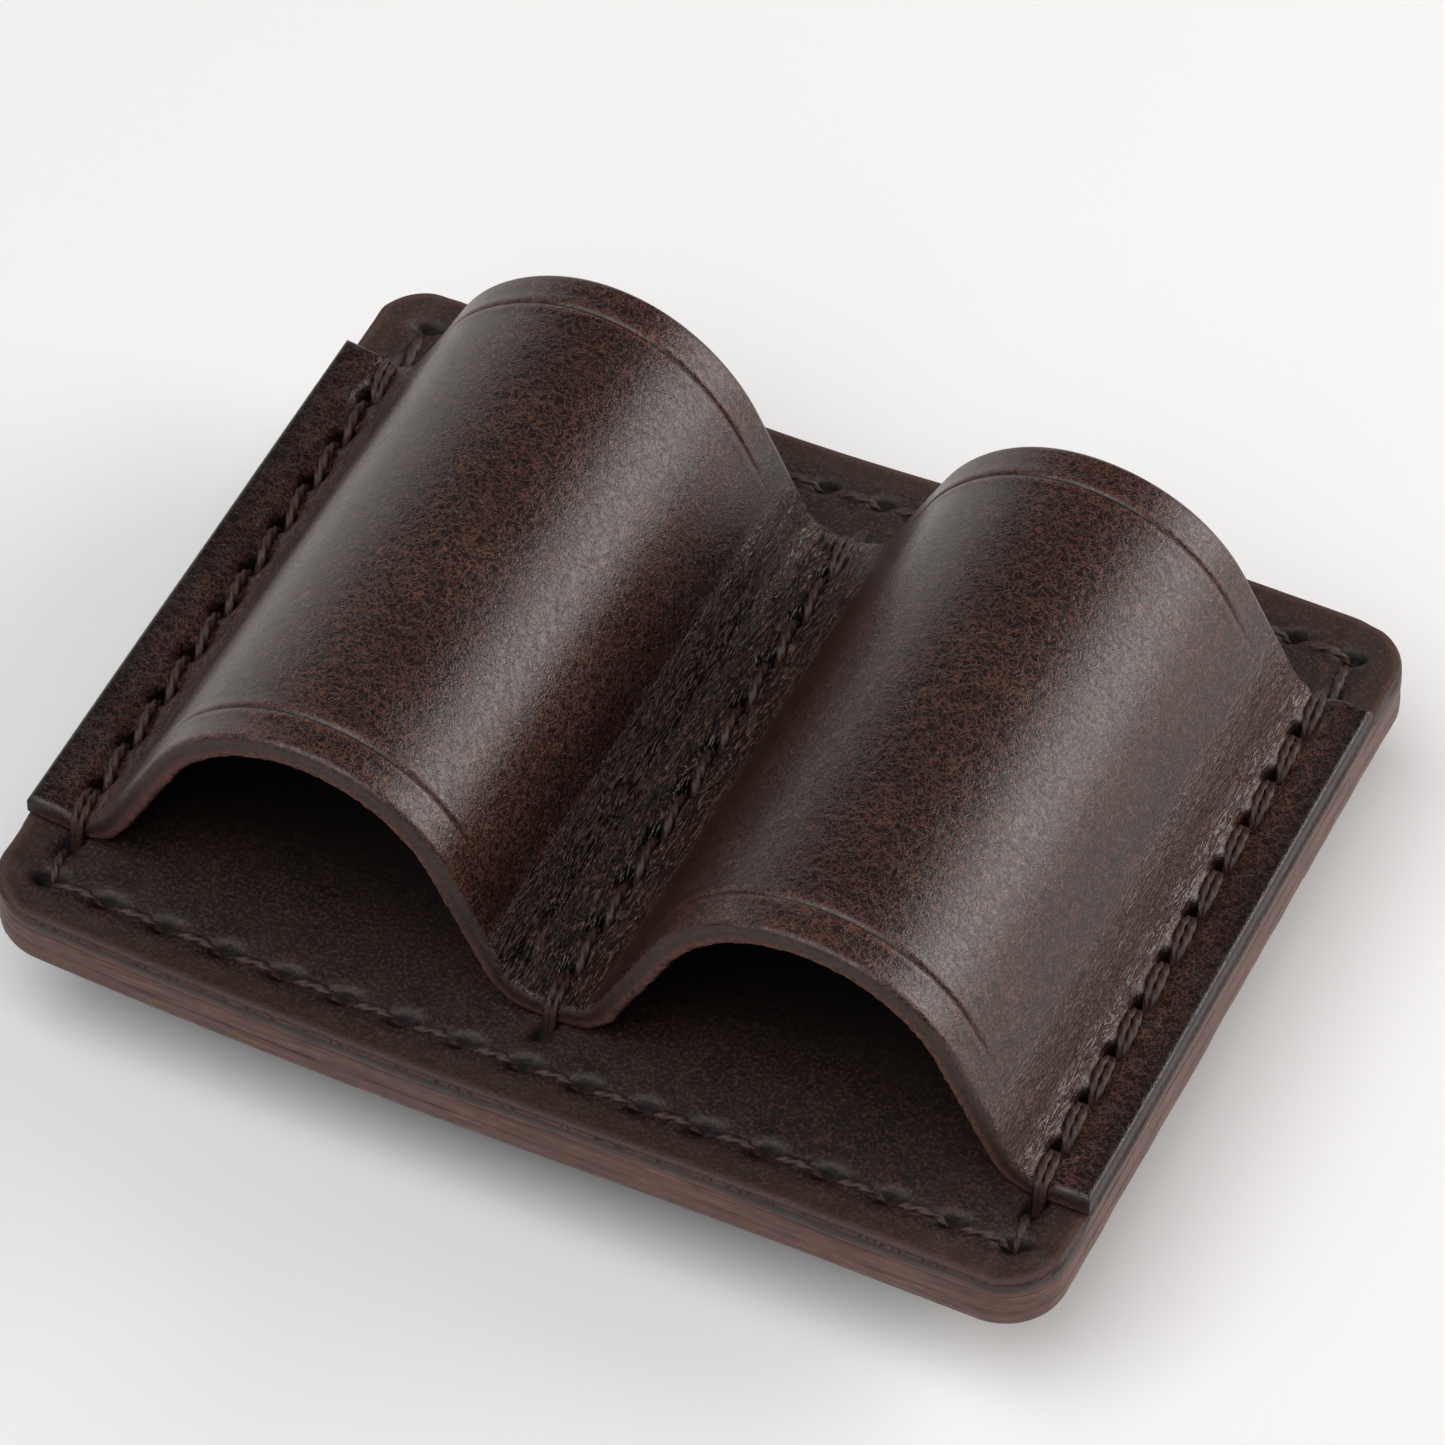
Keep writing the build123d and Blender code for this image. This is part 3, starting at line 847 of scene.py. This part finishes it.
def cutPanel(name, shown, hidden, reliefAt, fine, material, slot, node):
    # a panel whose shown face has the stitch dents and rounded rim, with plain walls to its hidden face
    outward = 1 if shown > hidden else -1
    if fine:
        columns = nearEdgeSteps(plateHalfX, plate["fineStep"], plate["rowStep"])
        rows = nearEdgeSteps(plateHalfY, plate["fineStep"], plate["wideStep"])
    else:
        columns = nearEdgeSteps(plateHalfX, 1.0, 1.5)
        rows = nearEdgeSteps(plateHalfY, 1.0, 1.5)

    def mould(gridX, gridY):
        x, y = roundCorner(gridX, gridY)
        inside = max(edgeDistance(x, y), 0.0)
        rounding = plate["rounding"] if fine else 0.05
        if outward > 0:
            rounding *= 1 - 0.94 * underFlange(x, y)
        drop = rounding - math.sqrt(max(rounding ** 2 - max(rounding - inside, 0) ** 2, 0))
        relief = reliefAt(x, y) if fine else 0.0
        relief += plate["wave"] * noise.noise(Vector((x / 11, y / 11, shown))) * smoothStep(inside, 0.3, 3)
        border = 1 - smoothStep(inside, 1.6, 2.6)
        rub = 0.35 * bell(inside - plate["rounding"], 0.2) + 0.12 * border
        # darker: a real darker border, painted shade in the stitch dents, and painted shade inside the tunnels
        stainAndShade = 0.2 * border + smoothStep(-relief, 0.12, 0.45)
        if outward > 0:
            stainAndShade += 0.85 * shadeInsideTunnel(x, y)
        stainAndShade = clamp(stainAndShade)
        return Vector((x, y, shown + outward * (relief - drop))), (rub, 0.0, stainAndShade)

    piece = addSheet(name, columns, rows)
    mouldSheet(piece, columns, rows, mould)
    piece.data.materials.append(material)
    piece.data.materials.append(plateEdge)

    # the walls and the hidden face
    bpy.ops.object.mode_set(mode="EDIT")
    bpy.ops.mesh.select_mode(type="FACE")
    bpy.ops.mesh.select_all(action="SELECT")
    drop = (hidden - shown) / 1000
    bpy.ops.mesh.extrude_region_move(TRANSFORM_OT_translate={"value": (0, 0, drop)})
    bpy.ops.object.mode_set(mode="OBJECT")
    mesh = piece.data
    for vertex in mesh.vertices:
        if vertex.select:
            vertex.co.z = hidden / 1000
    for group in (mesh.polygons, mesh.vertices):
        group.foreach_set("select", [False] * len(group))
    for edge in mesh.edges:
        first, second = (mesh.vertices[index].co for index in edge.vertices)
        edge.select = (first.xy - second.xy).length < 1e-6 and abs(first.z - second.z) > 0.00005
    bpy.ops.object.mode_set(mode="EDIT")
    bpy.ops.mesh.select_mode(type="EDGE")
    bpy.ops.mesh.subdivide(number_cuts=plate["wallRings"])
    bpy.ops.object.mode_set(mode="OBJECT")

    # walls bow out a little and waver, as a slicked edge does
    low, high = sorted((shown, hidden))
    layer = mesh.color_attributes["wearAndShade"].data
    for vertex in mesh.vertices:
        x, y, z = vertex.co * 1000
        if edgeDistance(x, y) < 0.02:
            ragged = 0.25 * noise.noise(Vector((x / 3, y / 3, 0))) + 0.12 * noise.noise(Vector((x, y, 5)))
            dye = 1 - smoothStep(plateTop - z + ragged, plate["dyeDepth"] - 0.5, plate["dyeDepth"] + 0.35)
            layer[vertex.index].color = (0.0, 0.0, 0.95 * dye * (1 - underFlange(x, y)), 1.0)
            wander = 0.05 * noise.noise(Vector((x / 2.2, y / 2.2, z / 0.8)))
            wander += 0.05 * noise.noise(Vector((x / 7, y / 7, z / 3)))
            fade = smoothStep(z, low, low + 0.15) * (1 - smoothStep(z, high - 0.15, high))
            outX = math.copysign(1, x) if plateHalfX - abs(x) < plateHalfY - abs(y) else 0
            outY = 0 if outX else math.copysign(1, y)
            vertex.co.x += outX * (wander - 0.03 + 0.05 * fade) / 1000
            vertex.co.y += outY * (wander - 0.03 + 0.05 * fade) / 1000
    thinHidden(piece, lambda face: abs(face.center.z * 1000 - hidden) < 0.001
               and edgeDistance(face.center.x * 1000, face.center.y * 1000) > 0.6, 0.1)
    for polygon in piece.data.polygons:
        level = abs(polygon.center.z * 1000 - shown)
        if edgeDistance(polygon.center.x * 1000, polygon.center.y * 1000) < 0.12 and level > 0.3:
            polygon.material_index = 1
    finishPiece(piece, slot, node)


gap = plate["glueLine"]
cutPanel("frontPanel", frontHigh.z, frontLow.z + gap, frontRelief, True, plateHide, "panel_leather", "front_panel")
cutPanel("middleLayer", middleHigh.z, middleLow.z + gap, None, False, plateEdge, "core_leather", "middle_layer")
cutPanel("backPanel", backLow.z, backHigh.z, backRelief, True, plateHide, "panel_leather", "back_panel")
print("stage 4: the plate is built")


# ---- back loop

backLoop = {
    "leather": 1.8,
    "tabLength": 5.0,
    "riseRun": 3.0,
    "bendRadius": 3.0,       # on the side that the sheet is moulded from
    "cornerRadius": 2.0,
    "edgeRounding": 0.13,
    "step": 0.28,
}


def bendLoop():
    # one strap, sewn down at both ends and stood off in its middle
    half = loopHigh.y
    rise = loopHigh.z - backLoop["leather"] - loopLow.z
    run = backLoop["riseRun"]
    tabEnd = half - backLoop["tabLength"]
    bandEnd = tabEnd - run
    slope = math.atan2(rise, run)
    corner = backLoop["bendRadius"] * math.tan(slope / 2)
    bend = backLoop["bendRadius"] * slope
    ramp = math.hypot(rise, run) - 2 * corner
    section = [(bandEnd - corner, 0), (bend, 1 / backLoop["bendRadius"]), (ramp, 0),
               (bend, -1 / backLoop["bendRadius"]), (backLoop["tabLength"] - corner, 0)]
    total = sum(length for length, curve in section)

    def halfPoint(distance):
        y = 0.0
        z = loopLow.z
        heading = 0.0
        for length, curve in section:
            step = min(distance, length)
            if curve == 0:
                y += step * math.cos(heading)
                z += step * math.sin(heading)
            else:
                turned = heading + curve * step
                y += (math.sin(turned) - math.sin(heading)) / curve
                z += (math.cos(heading) - math.cos(turned)) / curve
                heading = turned
            distance -= step
            if distance <= 0:
                break
        return y, z, heading

    columns = unevenSteps(2 * loopHigh.x, lambda place: backLoop["step"])
    rows = [place - total for place in unevenSteps(2 * total, lambda place: backLoop["step"])]

    def mould(across, along):
        x = across - loopHigh.x
        y, z, heading = halfPoint(abs(along))
        radius = backLoop["cornerRadius"]
        overX = abs(x) - (loopHigh.x - radius)
        overY = y - (half - radius)
        if overX > 0 and overY > 0:
            shrunkX = overX * math.sqrt(1 - overY ** 2 / (2 * radius ** 2))
            y = half - radius + overY * math.sqrt(1 - overX ** 2 / (2 * radius ** 2))
            x = math.copysign(loopHigh.x - radius + shrunkX, x)
        relief = seamRelief(x, y - loopSeamY, loopHoles)
        relief -= 0.04 * (1 + noise.noise(Vector((x / 8, along / 8, 5))))
        outward = Vector((0, math.copysign(math.sin(heading), along), -math.cos(heading)))
        place = Vector((x, math.copysign(y, along), z)) + outward * relief
        toEdge = min(loopHigh.x - abs(x), half - y)
        # darker: real dye along the edges, painted shade in the stitch dents
        stainAndShade = clamp(0.4 * bell(toEdge, 1.2) + smoothStep(-relief, 0.25, 0.7))
        return place, (0.35 * bell(toEdge - 0.8, 0.4), 0.0, stainAndShade)

    piece = addSheet("backLoop", columns, rows)
    mouldSheet(piece, columns, rows, mould)
    for material in (loopHide, fleshHide, coverEdge):
        piece.data.materials.append(material)
    # the grid faces up and its grain side is the lower one, so it is turned over before it gets its thickness
    bpy.ops.object.mode_set(mode="EDIT")
    bpy.ops.mesh.select_all(action="SELECT")
    bpy.ops.mesh.flip_normals()
    bpy.ops.object.mode_set(mode="OBJECT")
    applyModifier(piece, "SOLIDIFY", thickness=backLoop["leather"] / 1000, offset=-1.0,
                  material_offset=1, material_offset_rim=2)
    markDepth(piece, len(columns) * len(rows))
    bevelRim(piece, backLoop["edgeRounding"])
    finishPiece(piece, "loop_leather", "back_loop")


bendLoop()
print("stage 5: the back loop is bent and laid on")


# ---- thread

thread = {
    "radius": 0.36,
    "pairRadius": 0.3,       # where two strands lie side by side
    "pairGap": 0.27,
    "sides": 12,
    "rings": 26,
    "turns": 1.7,            # of the plies in one stitch
    "slant": 0.24,           # sideways lean of each end
    "sink": 1.6,
    "crown": -0.1,
    "flat": 0.8,
}


def spinStrand():
    # one straight stitch, extruded ring by ring, to be laid in place many times
    deselectAll()
    bpy.ops.mesh.primitive_circle_add(vertices=thread["sides"], radius=1, fill_type="NGON")
    strand = bpy.context.object
    bpy.ops.object.mode_set(mode="EDIT")
    bpy.ops.mesh.select_all(action="SELECT")
    for ring in range(thread["rings"]):
        bpy.ops.mesh.extrude_region_move(TRANSFORM_OT_translate={"value": (0, 0, 1)})
    bpy.ops.object.mode_set(mode="OBJECT")
    return strand


strandModel = spinStrand()


def plyRadius(angle):
    # outline of three round plies laid together, 1 on their crowns
    third = 2 * math.pi / 3
    fromCrown = abs((angle + third / 2) % third - third / 2)
    trefoil = 0.5 * math.cos(fromCrown) + math.sqrt(max(0.25 - (0.5 * math.sin(fromCrown)) ** 2, 0.0))
    return 0.35 + 0.65 * trefoil


def layStitch(start, end, up, radius, sideways=0.0):
    # bends a copy of the strand so that it rises from one hole and dives into the next
    stitch = strandModel.copy()
    stitch.data = strandModel.data.copy()
    bpy.context.collection.objects.link(stitch)
    run = Vector((end.x - start.x, end.y - start.y, 0))
    side = Vector((-run.y, run.x, 0)).normalized() * up
    climb = abs(end.z - start.z) > 0.5
    turn = random.uniform(-0.5, 0.5)
    swell = random.uniform(0.94, 1.06)
    lean = thread["slant"] * random.uniform(0.8, 1.2)

    def centre(share):
        eased = 0.35 * share + 0.65 * share * share * (3 - 2 * share)
        level = start.z + (end.z - start.z) * eased
        if climb:
            rising = eased if end.z > start.z else 1 - eased
            low, high = sorted((start.z, end.z))
            level = low + (high - low) * smoothStep(rising, 0.0, 0.2)
        arch = 1 - abs(2 * share - 1) ** 2.1
        height = -thread["sink"] + (thread["sink"] + thread["crown"]) * arch
        across = lean * (2 * eased - 1) + sideways * arch
        return Vector((start.x, start.y, level)) + run * eased + side * across + Vector((0, 0, up * height))

    for vertex in stitch.data.vertices:
        share = vertex.co.z / thread["rings"]
        around = math.atan2(vertex.co.y, vertex.co.x)
        ahead = (centre(min(share + 0.01, 1)) - centre(max(share - 0.01, 0))).normalized()
        across = ahead.cross(Vector((0, 0, up))).normalized()
        above = across.cross(ahead)
        angle = around + turn + share * thread["turns"] * 2 * math.pi
        taper = 0.72 + 0.28 * math.sin(math.pi * share)
        size = radius * swell * plyRadius(around) * taper
        vertex.co = (centre(share) + across * size * math.cos(angle)
                     + above * size * thread["flat"] * math.sin(angle)) / 1000
    return stitch


def joinStitches(stitches, name, *nodes):
    deselectAll()
    for stitch in stitches:
        stitch.select_set(True)
    bpy.context.view_layer.objects.active = stitches[0]
    bpy.ops.object.join()
    piece = stitches[0]
    piece.name = name
    piece.data.name = name
    piece.data.materials.clear()
    piece.data.materials.append(threadWax)
    finishPiece(piece, "waxed_thread", *nodes, smoothAngle=60)


def sewRow(holes, up, paired=False):
    stitches = []
    for start, end in zip(holes, holes[1:]):
        climbing = abs(start.z - end.z) > 0.5
        if paired or climbing:
            for sideways in (-thread["pairGap"], thread["pairGap"]):
                stitches.append(layStitch(start, end, up, thread["pairRadius"], sideways))
        else:
            stitches.append(layStitch(start, end, up, thread["radius"]))
    return stitches


flangeTop = coverLow.z + cover["leather"]


def flangeRow(x):
    row = [Vector((x, y, flangeTop)) for y in flangeHoles]
    row[0].z = plateTop
    row[-1].z = plateTop
    return row


def sewPerimeter():
    stitches = []
    for y in (-seamY, seamY):
        stitches += sewRow([Vector((x, y, plateTop)) for x in rowHoles], 1)
        stitches += sewRow([Vector((x, y, plateBottom)) for x in rowHoles], -1)
    for x in (-seamX, seamX):
        frontCorner = Vector((x, -seamY, plateTop))
        rearCorner = Vector((x, seamY, plateTop))
        row = flangeRow(x)
        stitches += sewRow([frontCorner, row[0]], 1)
        stitches += sewRow(row, 1, paired=x > 0)
        stitches += sewRow([row[-1], rearCorner], 1)
        under = [-seamY] + flangeHoles + [seamY]
        stitches += sewRow([Vector((x, y, plateBottom)) for y in under], -1)
    joinStitches(stitches, "perimeterThread", "perimeter_thread")


sewPerimeter()
joinStitches(sewRow(flangeRow(0.0), 1), "centreThread", "centre_thread")
tabUnder = loopHigh.z - backLoop["leather"]
for place, y in (("Front", -loopSeamY), ("Rear", loopSeamY)):
    tabRow = sewRow([Vector((x, y, tabUnder)) for x in loopHoles], -1)
    joinStitches(tabRow, "loopThread" + place, "loop_thread_" + place.lower())
bpy.data.objects.remove(strandModel)
print("stage 6: the stitches are sewn")


# ---- floor, light and camera

studio = {
    "paper": "f3f3f3",
    "worldColour": "ebe9e8",
    "worldStrength": 0.1,
    "windowDirection": (0.73, 0.57, 0.42),
    "windowDistance": 0.6,
    "windowSize": (0.5, 0.34),
    "windowPower": 2.8,
    "windowTint": (1.0, 0.95, 0.92),
    "overheadDirection": (-0.1, -0.36, 0.93),
    "overheadDistance": 0.9,
    "overheadSize": (1.1, 0.8),
    "overheadPower": 7.2,
    "overheadTint": (1.0, 1.0, 1.0),
    "backdropDirection": (-0.78, 0.6, 0.2),
    "backdropDistance": 1.0,
    "backdropSize": (1.6, 0.4),
    "backdropPower": 2.0,
    "backdropTint": (1.0, 1.0, 1.0),
    "frontDirection": (-0.28, -0.73, 0.57),
    "frontDistance": 0.8,
    "frontSize": (0.9, 0.12),
    "frontPower": 0.6,
    "frontTint": (1.0, 1.0, 1.0),
    "azimuth": 25.27,
    "elevation": 49.0,
    "roll": 0.52,
    "distance": 552.0,
    "lens": 224.2,
    "target": (-0.67, 3.53),
}


def layFloor():
    deselectAll()
    bpy.ops.mesh.primitive_plane_add(size=4)
    floor = bpy.context.object
    floor.name = "paperSweep"
    # matt white paper
    material, tree, shader = startMaterial("mattWhitePaper")
    place = objectMm(tree)
    tooth = addNode(tree, "ShaderNodeTexNoise", {"Scale": 1.2, "Detail": 4.0}, {"Vector": place})
    bump = addNode(tree, "ShaderNodeBump", {"Strength": 0.15, "Distance": 0.0001},
                   {"Height": tooth.outputs["Fac"]})
    tree.links.new(bump.outputs[0], shader.inputs["Normal"])
    shader.inputs["Base Color"].default_value = hexColour(studio["paper"])
    shader.inputs["Roughness"].default_value = 0.9
    shader.inputs["Specular IOR Level"].default_value = 0.2
    floor.data.materials.append(material)


def aimAt(thing, place, target):
    thing.location = place
    thing.rotation_euler = (Vector(target) - Vector(place)).to_track_quat("-Z", "Y").to_euler()


def addSoftbox(name, kind):
    deselectAll()
    bpy.ops.object.light_add(type="AREA")
    lamp = bpy.context.object
    lamp.name = name
    lamp.data.shape = "RECTANGLE"
    lamp.data.size, lamp.data.size_y = studio[kind + "Size"]
    lamp.data.energy = studio[kind + "Power"]
    lamp.data.color = studio[kind + "Tint"]
    aimAt(lamp, Vector(studio[kind + "Direction"]).normalized() * studio[kind + "Distance"], (0, 0, 0.01))


def addWorld():
    world = bpy.data.worlds.new("paleRoom")
    world.use_nodes = True
    background = world.node_tree.nodes["Background"]
    background.inputs["Color"].default_value = hexColour(studio["worldColour"])
    background.inputs["Strength"].default_value = studio["worldStrength"]
    bpy.context.scene.world = world


def addCamera():
    azimuth = math.radians(studio["azimuth"])
    tilt = math.radians(90 - studio["elevation"])
    roll = math.radians(studio["roll"])
    turn = Matrix.Rotation(azimuth, 3, "Z") @ Matrix.Rotation(tilt, 3, "X") @ Matrix.Rotation(roll, 3, "Z")
    level = plateTop + settling["lift"]
    place = Vector((*studio["target"], level)) + turn @ Vector((0, 0, studio["distance"]))
    bpy.ops.object.camera_add(location=place / 1000, rotation=turn.to_euler())
    camera = bpy.context.object
    camera.name = "productCamera"
    camera.data.lens = studio["lens"]
    camera.data.sensor_width = 36
    bpy.context.scene.camera = camera


layFloor()
addWorld()
addSoftbox("windowSoftbox", "window")
addSoftbox("overheadSoftbox", "overhead")
addSoftbox("backdropGlow", "backdrop")
addSoftbox("frontStrip", "front")
addCamera()
bpy.context.scene.view_settings.view_transform = "Standard"
print("stage 7: floor, light and camera are set")

deselectAll()
